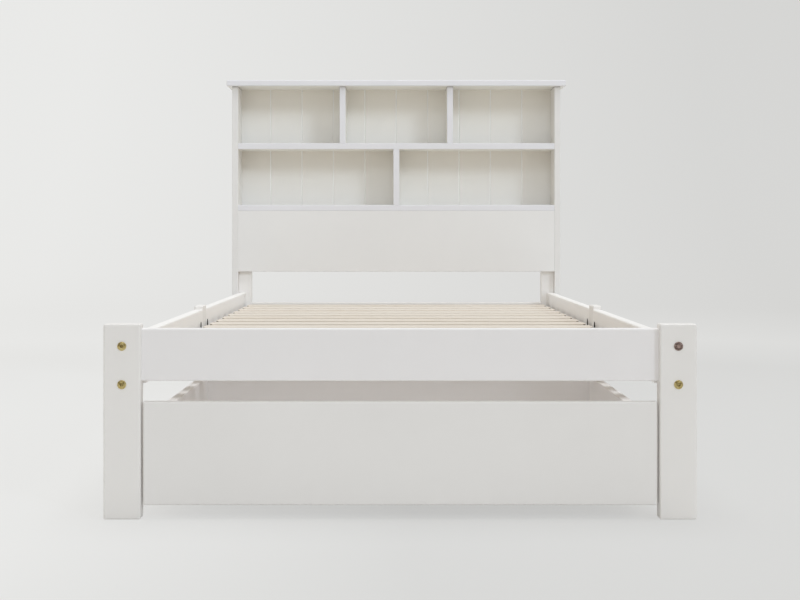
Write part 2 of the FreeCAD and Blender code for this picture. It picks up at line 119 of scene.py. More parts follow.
def vectorMath(tree, operation, first, second=None):
    node = tree.nodes.new("ShaderNodeVectorMath")
    node.operation = operation
    tree.links.new(first, node.inputs[0])
    if second is not None:
        node.inputs[1].default_value = second
    return node.outputs["Value" if operation == "LENGTH" else "Vector"]


def blendColour(tree, share, first, second):
    node = tree.nodes.new("ShaderNodeMix")
    node.data_type = "RGBA"
    tree.links.new(share, node.inputs["Factor"])
    for socket, colour in (("A", first), ("B", second)):
        if isinstance(colour, tuple):
            node.inputs[socket].default_value = (*colour, 1.0)
        else:
            tree.links.new(colour, node.inputs[socket])
    return node.outputs["Result"]


def bump(tree, height, strength, distance, below=None):
    node = addNode(tree, "ShaderNodeBump", Strength=strength, Distance=distance)
    tree.links.new(height, node.inputs["Height"])
    if below is not None:
        tree.links.new(below, node.inputs["Normal"])
    return node.outputs["Normal"]


# how much a pattern is drawn out along the wood's length
grainStretch = {"x": (0.06, 1.0, 1.0), "y": (1.0, 0.06, 1.0), "z": (1.0, 1.0, 0.06)}

# white paint, with painted light and shade in it: the bookcase is painted a little warmer inside
# than the frame, for the warm shade there, and its front edges cooler and darker than its inside
paintLook = {
    # each tone goes from its darker to its lighter colour
    "tones": {
        "frame": ((0.862, 0.840, 0.812), (0.890, 0.868, 0.840)),
        "footRail": ((0.880, 0.858, 0.852), (0.908, 0.886, 0.880)),
        "drawerFront": ((0.846, 0.826, 0.802), (0.874, 0.854, 0.830)),
        # painted shadow under the top board, at the uprights' joint with it
        "seam": ((0.300, 0.298, 0.300), (0.330, 0.328, 0.330)),
        "panel": ((0.830, 0.820, 0.804), (0.858, 0.848, 0.832)),
        # painted light: the side rails, head legs and drawer inside are a lighter tone than the
        # frame, to make up for the shade they sit in
        "sideRail": ((0.945, 0.925, 0.902), (0.968, 0.948, 0.925)),
        "headLeg": ((0.905, 0.887, 0.865), (0.930, 0.912, 0.890)),
        "drawerInside": ((0.935, 0.910, 0.900), (0.960, 0.935, 0.925)),
        # painted shade: the bookcase's inside is warmer, for the warm bounce shade in it
        "bay": ((0.900, 0.882, 0.832), (0.925, 0.907, 0.857)),
        # painted highlight: the back's grooves are pale, for the light their bevels catch
        "groove": ((0.965, 0.960, 0.945), (0.985, 0.980, 0.965)),
        # painted shade: the bookcase's front edges are a cooler, darker tone than its inside
        "edge": ((0.796, 0.790, 0.812), (0.822, 0.816, 0.838)),
        # painted shade: the top board's upper front rounding is dark, against the highlight it
        # catches
        "upperEdge": ((0.640, 0.640, 0.660), (0.665, 0.665, 0.685)),
        # painted shade: the side boards' front edges are darker than the frame
        "sideEdge": ((0.800, 0.786, 0.768), (0.826, 0.812, 0.794)),
    },
    "tonePlaces": (0.25, 0.75),
    # noises: scale, detail, roughness and distortion
    "patches": (4.0, 4.0),
    "roller": (620.0, 2.0),
    "grain": (190.0, 5.0, 0.6, 0.4),
    # bumps: strength and height
    "rollerBump": (0.30, 0.12 * mm),
    "grainBump": (0.35, 0.20 * mm),
    "roughness": (0.30, 0.42),
    "gloss": 0.40,
    # where a board's other tones end and start, as depths below its surface
    "edgeDepths": (1.5 * mm, 2.5 * mm),
    "upperEdgeDepths": (2.0 * mm, 1.2 * mm),
    "seamShadowDepths": (2.2 * mm, 1.6 * mm),
    "grooveDepths": (0.1 * mm, 0.5 * mm),
    "behindGrooves": (2.2 * mm, 2.6 * mm),
    # painted shade: the back is palest and coolest just above each shelf, and darker and warmer
    # towards the board above, whose shade falls on it
    "backPaintedShade": [
        (566 * mm, (0.965, 0.962, 0.950)), (650 * mm, (0.880, 0.863, 0.820)),
        (735 * mm, (0.850, 0.812, 0.738)), (747 * mm, (0.965, 0.962, 0.950)),
        (835 * mm, (0.912, 0.894, 0.846)), (919 * mm, (0.894, 0.858, 0.780))],
    "backShade": (0.55, 0.53, 0.49),
    "backShadeShare": 0.06,
    # painted shade: the nut pockets beside the mid legs are near black inside
    "pocketFromSeam": 60 * mm,
    "pocketHalf": (9.6 * mm, 11.4 * mm, 18.6 * mm),
    "pocketShadeColour": (0.030, 0.025, 0.022),
    "pocketFade": (1.0, 0.97),
}


def paintTone(tree, patches, name):
    look = paintLook
    return ramp(tree, patches, list(zip(look["tonePlaces"], look["tones"][name])))


# painted shade up each bay's back, under random patches of a darker tone
def paintedShadeByHeight(tree, height, patches):
    look = paintLook
    stops = look["backPaintedShade"]
    lowest, highest = stops[0][0], stops[-1][0]
    share = spread(tree, height, (0, 1), (lowest, highest))
    colour = ramp(
        tree, share, [((place - lowest) / (highest - lowest), tone) for place, tone in stops])
    shade = spread(tree, patches, (0, look["backShadeShare"]))
    return blendColour(tree, shade, colour, look["backShade"])


def paintedPocketShade(tree, plain, colour):
    # both sides' pockets are folded onto one place, and a box round that place is painted near
    # black as shade
    look = paintLook
    low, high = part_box("mid_nuts")
    railLow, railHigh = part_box("side_rail_front_right")
    seam = (0, (low.y + high.y) / 2, 0)
    middle = ((railLow.x + railHigh.x) / 2, look["pocketFromSeam"], (low.z + high.z) / 2)
    folded = vectorMath(tree, "ABSOLUTE", vectorMath(tree, "SUBTRACT", plain, seam))
    away = vectorMath(tree, "ABSOLUTE", vectorMath(tree, "SUBTRACT", folded, middle))
    apart = takeApart(tree, vectorMath(tree, "DIVIDE", away, look["pocketHalf"]))
    widest = apart["X"]
    for letter in "YZ":
        widest = calculate(tree, "MAXIMUM", widest, apart[letter])
    inside = spread(tree, widest, (0, 1), look["pocketFade"])
    return blendColour(tree, inside, colour, look["pocketShadeColour"])


def whitePaint(name, axis, place, *zones, pockets=False):
    # a zone is a coordinate, where another tone starts, where that is full, and its name
    look = paintLook
    material, tree, shader = newMaterial(name)
    plain = objectCoords(tree)
    apart = takeApart(tree, plain)
    patches = noise(tree, plain, *look["patches"])
    if place == "back":
        colour = paintedShadeByHeight(tree, apart["Z"], patches)
    else:
        colour = paintTone(tree, patches, place)
    for letter, start, full, tone in zones:
        share = spread(tree, apart[letter], (0, 1), (start, full))
        colour = blendColour(tree, share, colour, paintTone(tree, patches, tone))
    if pockets:
        colour = paintedPocketShade(tree, plain, colour)
    tree.links.new(colour, shader.inputs["Base Color"])
    # the grain shows through the roller's marks
    grain = noise(tree, objectCoords(tree, grainStretch[axis]), *look["grain"])
    roller = noise(tree, plain, *look["roller"])
    tree.links.new(spread(tree, grain, look["roughness"]), shader.inputs["Roughness"])
    grainBump = bump(tree, grain, *look["grainBump"])
    paintBump = bump(tree, roller, *look["rollerBump"], grainBump)
    tree.links.new(paintBump, shader.inputs["Normal"])
    shader.inputs["Specular IOR Level"].default_value = look["gloss"]
    return material


def frontEdge(name, tone):
    # the tone is full on a board's front edge, and ends behind its rounding
    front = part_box(name)[0].y
    full, ends = paintLook["edgeDepths"]
    return ("Y", front + ends, front + full, tone)


pineLook = {
    "tones": [
        (0.15, (0.63, 0.535, 0.43)), (0.42, (0.70, 0.62, 0.525)),
        (0.62, (0.735, 0.665, 0.58)), (0.90, (0.765, 0.705, 0.63))],
    # noises: scale, detail, roughness and distortion
    "rings": (26.0, 6.0, 0.62, 1.2),
    "fibres": (420.0, 3.0, 0.6),
    "broad": (7.0, 1.0),
    # how much of the last two is added to the rings, and what the sum is spread to
    "fibreShare": 0.50,
    "broadShare": 0.35,
    "toneRange": (-0.55, 0.72),
    "roughness": (0.48, 0.66),
    "grainBump": (0.35, 0.4 * mm),
    # knots: the cores of a sparse cell pattern, drawn out a little along the slat
    "knotScale": 4.4,
    "knotStretch": (0.45, 1.0, 1.0),
    "knotCore": (0.024, 0.044),
    "knotShare": 0.85,
    "knotColour": (0.34, 0.20, 0.11),
    # painted shade: the slats' top and bottom faces keep their colour down to these depths, and
    # their side faces between are darker, for the shade between the slats
    "paleFaceDepths": (0.6 * mm, 2.0 * mm),
    "sideShadeShare": 0.20,
    "sideShadeColour": (0.40, 0.30, 0.21),
    # the side faces' last bit by the rails is near black, as dark as it shows between the slats
    # in the photo
    "endMarkFrom": (436 * mm, 438 * mm),
    "endMarkShare": 0.85,
    "endMarkColour": (0.10, 0.072, 0.050),
}


def naturalPine():
    look = pineLook
    material, tree, shader = newMaterial("naturalPine")
    drawnOut = objectCoords(tree, grainStretch["x"])
    rings, fibres, broad = (
        noise(tree, drawnOut, *look[name]) for name in ("rings", "fibres", "broad"))
    wood = calculate(tree, "MULTIPLY_ADD", fibres, look["fibreShare"], rings)
    mixed = calculate(tree, "MULTIPLY_ADD", broad, look["broadShare"], wood)
    colour = ramp(tree, spread(tree, mixed, look["toneRange"]), look["tones"])
    apart = takeApart(tree, objectCoords(tree))
    low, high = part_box("slat_01")
    above = calculate(tree, "SUBTRACT", apart["Z"], (low.z + high.z) / 2)
    away = calculate(tree, "ABSOLUTE", above)
    depths = [(high.z - low.z) / 2 - depth for depth in look["paleFaceDepths"]]
    sideShade = spread(tree, away, (0, look["sideShadeShare"]), depths)
    colour = blendColour(tree, sideShade, colour, look["sideShadeColour"])
    outward = calculate(tree, "ABSOLUTE", apart["X"])
    nearEnd = spread(tree, outward, (0, look["endMarkShare"]), look["endMarkFrom"])
    endMarks = calculate(tree, "MULTIPLY", nearEnd, spread(tree, away, (0, 1), depths))
    colour = blendColour(tree, endMarks, colour, look["endMarkColour"])
    cells = addNode(tree, "ShaderNodeTexVoronoi", Scale=look["knotScale"])
    tree.links.new(objectCoords(tree, look["knotStretch"]), cells.inputs["Vector"])
    core = spread(tree, cells.outputs["Distance"], (look["knotShare"], 0), look["knotCore"])
    colour = blendColour(tree, core, colour, look["knotColour"])
    tree.links.new(colour, shader.inputs["Base Color"])
    tree.links.new(spread(tree, fibres, look["roughness"]), shader.inputs["Roughness"])
    tree.links.new(bump(tree, wood, *look["grainBump"]), shader.inputs["Normal"])
    return material


# metals, plastics and the rest: patches from a darker to a lighter colour, under a fine bump
finishLook = {
    "yellowPlating": {
        "metal": True, "tones": ((0.62, 0.47, 0.17), (0.90, 0.78, 0.40)),
        "roughness": (0.20, 0.36), "scale": 260.0, "height": 0.06 * mm,
        # colour of the painted dark reflection and socket shade on the bolt heads
        "darkReflection": (0.11, 0.075, 0.020)},
    "darkPlating": {
        "metal": True, "tones": ((0.38, 0.26, 0.22), (0.74, 0.58, 0.52)),
        "roughness": (0.28, 0.45), "scale": 260.0, "height": 0.06 * mm,
        # colour of the painted dark reflection and socket shade on the darker bolt
        "darkReflection": (0.030, 0.014, 0.010)},
    "zincPlating": {
        "metal": True, "tones": ((0.50, 0.52, 0.54), (0.72, 0.73, 0.74)),
        "roughness": (0.28, 0.44), "scale": 180.0, "height": 0.06 * mm},
    "castorPlastic": {
        "metal": False, "tones": ((0.018, 0.018, 0.020), (0.035, 0.035, 0.037)),
        "roughness": (0.38, 0.55), "scale": 120.0, "height": 0.08 * mm},
    "baseBoard": {
        "metal": False, "tones": ((0.93, 0.915, 0.895), (0.955, 0.94, 0.92)),
        "roughness": (0.45, 0.60), "scale": 60.0, "height": 0.06 * mm},
    "beechDowel": {
        "metal": False, "tones": ((0.50, 0.34, 0.20), (0.62, 0.45, 0.28)),
        "roughness": (0.50, 0.65), "scale": 300.0, "height": 0.10 * mm},
}
finishPlaces = (0.3, 0.7)
# how much detail the patches have, and how many times finer the bump is
finishGrain = {True: (4.0, 6), False: (3.0, 8)}
fineDetail = 2.0
bumpStrength = 0.4
darkReflectionScale = 2.2  # of the patches' scale
darkReflectionBreak = ((0.55, 1.0), (0.35, 0.6))


def patchyFinish(name):
    look = finishLook[name]
    metal = look["metal"]
    material, tree, shader = newMaterial(name)
    plain = objectCoords(tree)
    detail, finer = finishGrain[metal]
    patches = noise(tree, plain, look["scale"], detail)
    fine = noise(tree, plain, look["scale"] * finer, fineDetail)
    colour = ramp(tree, patches, list(zip(finishPlaces, look["tones"])))
    if "darkReflection" in look:
        # the piece's own attribute says where a dark reflection and the socket's shade are
        # painted, and noise breaks that up
        reflectionMap = tree.nodes.new("ShaderNodeAttribute")
        reflectionMap.attribute_name = "darkReflection"
        broken = noise(tree, plain, look["scale"] * darkReflectionScale, fineDetail)
        share = calculate(
            tree, "MULTIPLY", reflectionMap.outputs["Fac"], spread(tree, broken, *darkReflectionBreak))
        colour = blendColour(tree, share, colour, look["darkReflection"])
    tree.links.new(colour, shader.inputs["Base Color"])
    rough = spread(tree, patches if metal else fine, look["roughness"])
    tree.links.new(rough, shader.inputs["Roughness"])
    tree.links.new(bump(tree, fine, bumpStrength, look["height"]), shader.inputs["Normal"])
    if metal:
        shader.inputs["Metallic"].default_value = 1.0
    return material


topLow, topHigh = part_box("top_board")
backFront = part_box("back_boards")[0].y
# painted shadow: a dark line under the top board's overhang, along the joint where the uprights
# meet it
seamShadowZone = ("Z", *(topLow.z - depth for depth in paintLook["seamShadowDepths"]), "seam")
# painted shade on the top board's upper front rounding, against its highlight
upperEdgeShadeZone = ("Z", *(topHigh.z - depth for depth in paintLook["upperEdgeDepths"]), "upperEdge")
behindTopEdge = ("Y", *(topLow.y + depth for depth in paintLook["edgeDepths"]), "bay")
# painted highlight in the back's grooves
grooveHighlightZone = ("Y", *(backFront + depth for depth in paintLook["grooveDepths"]), "groove")
behindZone = ("Y", *(backFront + depth for depth in paintLook["behindGrooves"]), "bay")

postPaint = whitePaint("framePaint", "z", "frame")
footRailPaint = whitePaint("footRailPaint", "x", "footRail")
sideRailPaint = whitePaint("sideRailPaint", "y", "sideRail", pockets=True)
sideBoardPaint = whitePaint(
    "sideBoardPaint", "z", "frame", frontEdge("side_board_left", "sideEdge"), seamShadowZone)
panelPaint = whitePaint("panelPaint", "x", "panel")
backPaint = whitePaint("backPaint", "z", "back", grooveHighlightZone, behindZone)
headLegPaint = whitePaint("headLegPaint", "z", "headLeg")
headRailPaint = whitePaint("headRailPaint", "x", "headLeg")
topPaint = whitePaint("topPaint", "x", "edge", upperEdgeShadeZone, behindTopEdge)
shelfPaint = whitePaint("shelfPaint", "x", "bay", frontEdge("middle_shelf", "edge"))
dividerPaint = whitePaint(
    "dividerPaint", "z", "bay", frontEdge("lower_divider", "edge"), seamShadowZone)
drawerFrontPaint = whitePaint("drawerFrontPaint", "x", "drawerFront")
drawerBackPaint = whitePaint("drawerBackPaint", "x", "drawerInside")
drawerSidePaint = whitePaint("drawerSidePaint", "y", "drawerInside")
pine = naturalPine()
brass, bronze, zinc, castorBlack, baseBoard, beech = (patchyFinish(name) for name in finishLook)
print("finishes made")

# what each solid is finished in, by the start of its name
finishOf = {
    "foot_post_": postPaint, "mid_leg_": postPaint, "foot_rail": footRailPaint,
    "side_rail_": sideRailPaint, "slat_cleat_": sideRailPaint,
    "side_board_": sideBoardPaint, "drop_panel": panelPaint, "back_boards": backPaint,
    "head_leg_": headLegPaint, "head_cross_rail": headRailPaint, "top_board": topPaint,
    "middle_shelf": shelfPaint, "lower_shelf": shelfPaint,
    "upper_divider_": dividerPaint, "lower_divider": dividerPaint,
    "drawer_front": drawerFrontPaint, "drawer_back": drawerBackPaint,
    "drawer_side_": drawerSidePaint, "drawer_bottom": baseBoard,
    "slat_0": pine, "slat_1": pine, "drawer_batten_": pine, "dowels": beech,
    "bed_bolts": brass, "bed_barrel": zinc, "mid_studs": zinc, "mid_nuts": zinc,
    "slat_screws": zinc, "castor_brackets": zinc, "castor_axles": zinc,
    "castor_wheel_": castorBlack,
}

for name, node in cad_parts.items():
    finish = [material for start, material in finishOf.items() if name.startswith(start)]
    node.data.materials.clear()
    node.data.materials.append(finish[0])
print("solids dressed")


# a cross recess: half an arm's width as an angle, and how far in the corners between arms are
crossLook = {"halfArm": 0.2, "corner": 0.42}


def shapedRadius(shape, radius, angle):
    if shape == "hex":
        return radius / math.cos((angle + math.pi / 6) % (math.pi / 3) - math.pi / 6)
    if shape == "cross":
        fromArm = abs((angle + math.pi / 4) % (math.pi / 2) - math.pi / 4)
        return radius if fromArm < crossLook["halfArm"] else crossLook["corner"] * radius
    return radius


def stackRings(mesh, rings, segments):
    # rings of one turned shape from first to last, along Z, with both ends closed
    loops = []
    for radius, height, *shape in rings:
        ring = bmesh.ops.create_circle(
            mesh, cap_ends=False, radius=radius, segments=segments)["verts"]
        for vert in ring:
            angle = math.atan2(vert.co.y, vert.co.x)
            vert.co *= shapedRadius(shape[0] if shape else "round", radius, angle) / radius
            vert.co.z = height
        loops.append(ring)
    edgesOf = [list({edge for vert in ring for edge in vert.link_edges}) for ring in loops]
    for first, second in zip(edgesOf, edgesOf[1:]):
        bmesh.ops.bridge_loops(mesh, edges=first + second)
    for ring in (loops[0], loops[-1]):
        mesh.faces.new(ring)


def mirrored(outline):
    # the same outline past the middle, in the opposite order
    return [(radius, -along) for radius, along in reversed(outline)]


def scaledHead(shares, radius, height, start=0):
    # a head's outline, given in shares of its radius and height
    return [(radius * wide, start + height * high, *shape) for wide, high, *shape in shares]


threadSteps = 16  # to a turn


def cutThread(mesh, crest, root, pitch, start, turns):
    # one tooth, wound up the rod
    points = [(root, start), (crest, start + pitch / 2), (root, start + pitch)]
    tooth = [mesh.verts.new((x, 0, z)) for x, z in points]
    edges = [mesh.edges.new(pair) for pair in zip(tooth, tooth[1:])]
    mesh.faces.new(tooth)
    wound = bmesh.ops.spin(
        mesh, geom=tooth + edges, cent=(0, 0, 0), axis=(0, 0, 1),
        dvec=(0, 0, pitch / threadSteps), angle=math.tau * turns, steps=threadSteps * turns,
        use_merge=False)
    mesh.faces.new([item for item in wound["geom_last"] if isinstance(item, bmesh.types.BMVert)])


def setIn(mesh, shape, direction, place):
    # turns a copy of a shape made along Z to its real direction, and puts it in its place
    turn = Vector((0, 0, 1)).rotation_difference(Vector(direction)).to_matrix().to_4x4()
    data = bpy.data.meshes.new("shape")
    shape.to_mesh(data)
    data.transform(Matrix.Translation(place) @ turn)
    mesh.from_mesh(data)
    bpy.data.meshes.remove(data)


def newObject(name, mesh, material):
    data = bpy.data.meshes.new(name)
    mesh.to_mesh(data)
    mesh.free()
    for face in data.polygons:
        face.use_smooth = True
    data.materials.append(material)
    made = bpy.data.objects.new(name, data)
    bpy.context.scene.collection.objects.link(made)
    return made


mergeWithin = 0.002 * mm
sharpAngle = 35  # edges sharper than this many degrees stay so


def addPiece(name, mesh, material, body, replaced):
    bmesh.ops.remove_doubles(mesh, verts=mesh.verts, dist=mergeWithin)
    bmesh.ops.recalc_face_normals(mesh, faces=mesh.faces)
    for edge in mesh.edges:
        edge.smooth = edge.calc_face_angle(0) < math.radians(sharpAngle)
    piece = newObject(name, mesh, material)
    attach(piece, body)
    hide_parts(replaced)


# bed bolts: low domed heads with a hexagon socket and a rim where they meet the wood
boltLook = {
    "headRadius": 7.5 * mm,
    "headHeight": 3.0 * mm,
    "domeSteps": 8,
    "rim": 0.6 * mm,
    "rimChamfer": 0.1 * mm,
    "socketHalf": 2.5 * mm,
    "socketDepth": 2.4 * mm,
    "mouthChamfer": 0.25 * mm,
    # the socket's floor, its mouth and the flat round that, in shares of its half width
    "floorShare": 0.9,
    "mouthShare": 1.08,
    "flatShare": 1.45,
    "flatFall": 0.02 * mm,
    "shank": 3.0 * mm,
    "root": 2.5 * mm,
    "coreShare": 0.99,  # of the root, so that the thread is sunk in the rod
    "pitch": 1.0 * mm,
    "threadTurns": 22,
    "threadRunIn": 0.5 * mm,
    "threadFromEnd": 2 * mm,
    "point": 1 * mm,
    "pointShare": 0.7,
    "fromRailEdge": 12 * mm,
    "barrelFromRailEnd": 30 * mm,
    "pastBarrel": 9 * mm,
    "segments": 48,
    # painted dark reflection on the head all round, how much more at its two upper sides, and
    # painted shade in its socket
    "goldBoltReflection": (0.45, 0.55, 0.85),
    "darkBoltReflection": (0.95, 0.0, 0.25),
    "reflectionSides": 55,  # degrees from the top
    "reflectionRing": (0.66, 0.42),  # its middle and its reach, in shares of the head's radius
    "socketReach": 1.1,
    "reflectionEnds": 0.05 * mm,
}


# paints a dark reflection round the head's upper sides and shade in its socket, as a float on
# each vertex
def paintDarkReflection(mesh, reflectionShares):
    look = boltLook
    allRound, sidesToo, socket = reflectionShares
    middle, reach = look["reflectionRing"]
    layer = mesh.verts.layers.float.new("darkReflection")
    for vert in mesh.verts:
        radius = vert.co.xy.length
        if vert.co.z > -look["reflectionEnds"] and radius > look["socketHalf"]:
            continue
        if radius < look["socketHalf"] * look["socketReach"]:
            vert[layer] = socket
            continue
        fromUp = abs(math.atan2(vert.co.x, -vert.co.y))
        atSides = max(0.0, math.cos(2 * (fromUp - math.radians(look["reflectionSides"]))))
        inRing = max(0.0, 1 - (abs(radius / look["headRadius"] - middle) / reach) ** 2)
        vert[layer] = (allRound + sidesToo * atSides) * inRing


def boltShape(length, reflectionShares):
    # the head's underside is at the origin, and the rod runs along Z
    look = boltLook
    radius, height, rim = look["headRadius"], look["headHeight"], look["rim"]
    half, shank, root = look["socketHalf"], look["shank"], look["root"]
    floor, flat = look["socketDepth"] - height, half * look["flatShare"]
    rings = [
        (half * look["floorShare"], floor, "hex"), (half, floor, "hex"),
        (half, look["mouthChamfer"] - height, "hex"), (half * look["mouthShare"], -height, "hex"),
        (flat, look["flatFall"] - height)]
    for step in range(1, look["domeSteps"] + 1):
        angle = math.radians(90 * step / look["domeSteps"])
        out = flat + (radius - flat) * math.sin(angle)
        rings.append((out, -rim - (height - rim) * math.cos(angle)))
    threadStart = length - look["threadTurns"] * look["pitch"] - look["threadFromEnd"]
    firstTooth = threadStart + look["threadRunIn"]
    rings += [
        (radius, -look["rimChamfer"]), (radius - look["rimChamfer"], 0),
        (shank, 0), (shank, threadStart), (root * look["coreShare"], firstTooth),
        (root * look["coreShare"], length - look["point"]), (root * look["pointShare"], length)]
    mesh = bmesh.new()
    stackRings(mesh, rings, look["segments"])
    cutThread(mesh, shank, root, look["pitch"], firstTooth, look["threadTurns"])
    paintDarkReflection(mesh, reflectionShares)
    return mesh


def makeBedBolts():
    look = boltLook
    meshes = {"gold": bmesh.new(), "dark": bmesh.new()}
    ends = {
        "foot": (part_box("foot_post_left")[0].y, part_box("side_rail_front_left")[0].y, 1),
        "head": (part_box("head_leg_left")[1].y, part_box("side_rail_rear_left")[1].y, -1)}
    for end, (faceY, railEnd, turn) in ends.items():
        length = abs(railEnd + turn * look["barrelFromRailEnd"] - faceY) + look["pastBarrel"]
        bolts = {kind: boltShape(length, look[kind + "BoltReflection"]) for kind in meshes}
        for side in sides:
            low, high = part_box("side_rail_front_" + side)
            heights = {
                "lower": low.z + look["fromRailEdge"], "upper": high.z - look["fromRailEdge"]}
            for level, height in heights.items():
                # in the photo the upper right bolt at the foot is a darker one
                kind = "dark" if (end, side, level) == ("foot", "right", "upper") else "gold"
                place = ((low.x + high.x) / 2, faceY, height)
                setIn(meshes[kind], bolts[kind], (0, turn, 0), place)
    addPiece("bedBolts", meshes["gold"], brass, "bed", "bed_bolts")
    addPiece("darkBedBolt", meshes["dark"], bronze, "bed", "bed_bolts")


# studs through the mid legs, threaded at both ends, and their nuts
studLook = {
    "radius": 4.0 * mm,
    "root": 3.4 * mm,
    "coreShare": 0.99,
    "pitch": 1.25 * mm,
    "threadTurns": 19,
    "chamfer": 0.8 * mm,
    "nutHalf": 6.5 * mm,
    "nutHeight": 6.5 * mm,
    "nutChamfer": 0.5 * mm,
    "nutFaceShare": 0.93,  # of its half width
    # the hole in a nut and its mouth, in shares of the stud's radius
    "holeShare": 1.02,
    "mouthShare": 1.12,
    "segments": 48,
}


def studShape(half):
    look = studLook
    radius, core, chamfer = look["radius"], look["root"] * look["coreShare"], look["chamfer"]
    plain = half - look["threadTurns"] * look["pitch"] - chamfer
    rings = [
        (radius, plain + core - radius), (core, plain), (core, half - chamfer),
        (core - chamfer, half)]
    mesh = bmesh.new()
    stackRings(mesh, mirrored(rings) + rings, look["segments"])
    for start in (-half + chamfer, plain):
        cutThread(mesh, radius, look["root"], look["pitch"], start, look["threadTurns"] - 1)
    return mesh


def nutShape():
    look = studLook
    full, edge, half = look["nutHeight"], look["nutChamfer"], look["nutHalf"]
    face = half * look["nutFaceShare"]
    hole, mouth = (look["radius"] * look[share] for share in ("holeShare", "mouthShare"))
    mesh = bmesh.new()
    stackRings(
        mesh, [
            (hole, 0), (face, 0), (half, edge, "hex"), (half, full - edge, "hex"), (face, full),
            (mouth, full), (hole, full - edge)],
        look["segments"])
    return mesh


def makeStudsAndNuts():
    look = studLook
    low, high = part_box("mid_studs")
    nutLow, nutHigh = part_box("mid_nuts")
    seamY, height = (high.y + low.y) / 2, (high.z + low.z) / 2
    stud, nut = studShape((high.y - low.y) / 2), nutShape()
    studs, nuts = bmesh.new(), bmesh.new()
    for sign in sides.values():
        x = sign * (high.x - look["radius"])
        setIn(studs, stud, (0, 1, 0), (x, seamY, height))
        setIn(nuts, nut, (0, 1, 0), (x, nutHigh.y - look["nutHeight"], height))
        setIn(nuts, nut, (0, -1, 0), (x, nutLow.y + look["nutHeight"], height))
    addPiece("midStuds", studs, zinc, "bed", "mid_studs")
    addPiece("midNuts", nuts, zinc, "bed", "mid_nuts")


# slat screws: flat heads with a cross recess
screwLook = {
    "headRadius": 4.0 * mm,
    "headFlatShare": 0.75,
    "headEdge": 0.1 * mm,
    "below": 0.15 * mm,
    "shank": 2.0 * mm,
    "length": 32 * mm,
    "point": 3 * mm,
    "tipShare": 0.15,
    "tipFromEnd": 0.1 * mm,
    # the recess runs from its mouth through a narrower place to its floor
    "recess": 2.1 * mm,
    "recessDepth": 1.6 * mm,
    "recessNarrow": (0.7, 0.6),
    "recessFloorShare": 0.35,
    "fromSlatEnd": 7.5 * mm,
    "segments": 32,
}


def screwShape():
    look = screwLook
    head, shank, below = look["headRadius"], look["shank"], look["below"]
    recess, depth, length = look["recess"], look["recessDepth"], look["length"]
    narrow, deep = look["recessNarrow"]
    mesh = bmesh.new()
    stackRings(
        mesh, [
            (recess * look["recessFloorShare"], depth), (recess * narrow, depth * deep, "cross"),
            (recess, below, "cross"), (head * look["headFlatShare"], below),
            (head, below + look["headEdge"]), (shank, head - shank),
            (shank, length - look["point"]),
            (shank * look["tipShare"], length - look["tipFromEnd"])],
        look["segments"])
    return mesh


def makeSlatScrews():
    screw, mesh = screwShape(), bmesh.new()
    slats = [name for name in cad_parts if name.startswith(("slat_0", "slat_1"))]
    for name in sorted(slats):
        low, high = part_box(name)
        for end, sign in ((low.x, -1), (high.x, 1)):
            place = (end - sign * screwLook["fromSlatEnd"], (low.y + high.y) / 2, high.z)
            setIn(mesh, screw, (0, 0, -1), place)
    addPiece("slatScrews", mesh, zinc, "bed", "slat_screws")


# castors: a pressed bracket, a riveted axle and a moulded wheel with ribs between hub and rim
castorLook = {
    "plate": 46 * mm,
    "thickness": 2 * mm,
    "plateCorner": 8 * mm,
    "plateCornerSteps": 6,
    "earInner": 7.6 * mm,
    "earTop": 13 * mm,
    "earRadius": 6 * mm,
    "earSegments": 32,
    "screwInset": 8 * mm,
    "screwRadius": 3.4 * mm,
    "screwHeight": 1.8 * mm,
    "screwSegments": 24,
    "axle": 2 * mm,
    "axleSegments": 32,
    "rivet": 3.5 * mm,
    "rivetHeight": 1.2 * mm,
    # low domed heads, in shares of their radius and height
    "screwHead": [
        (1, 0), (1, 0.35), (0.85, 0.8), (0.62, 1), (0.55, 1, "cross"), (0.3, 0.4, "cross")],
    "rivetHead": [(1, 0), (1, 0.35), (0.85, 0.8), (0.4, 1)],
    "wheel": 15 * mm,
    "wheelHalf": 7 * mm,
    "wheelCorner": 2.5 * mm,
    "wheelCornerSteps": 6,
    "wheelSegments": 40,
    "bore": 2.05 * mm,
    "hub": 5.5 * mm,
    "rimDepth": 3.5 * mm,
    "webRecess": 3 * mm,
    "chamfer": 0.3 * mm,
    "slope": 0.4 * mm,  # how far the recess's walls lean, twice over
    "ribs": 6,
    "ribWidth": 1.3 * mm,
    "ribSunk": 0.4 * mm,  # into the hub and the rim, both together
    "ribBelowFace": 0.9 * mm,
}


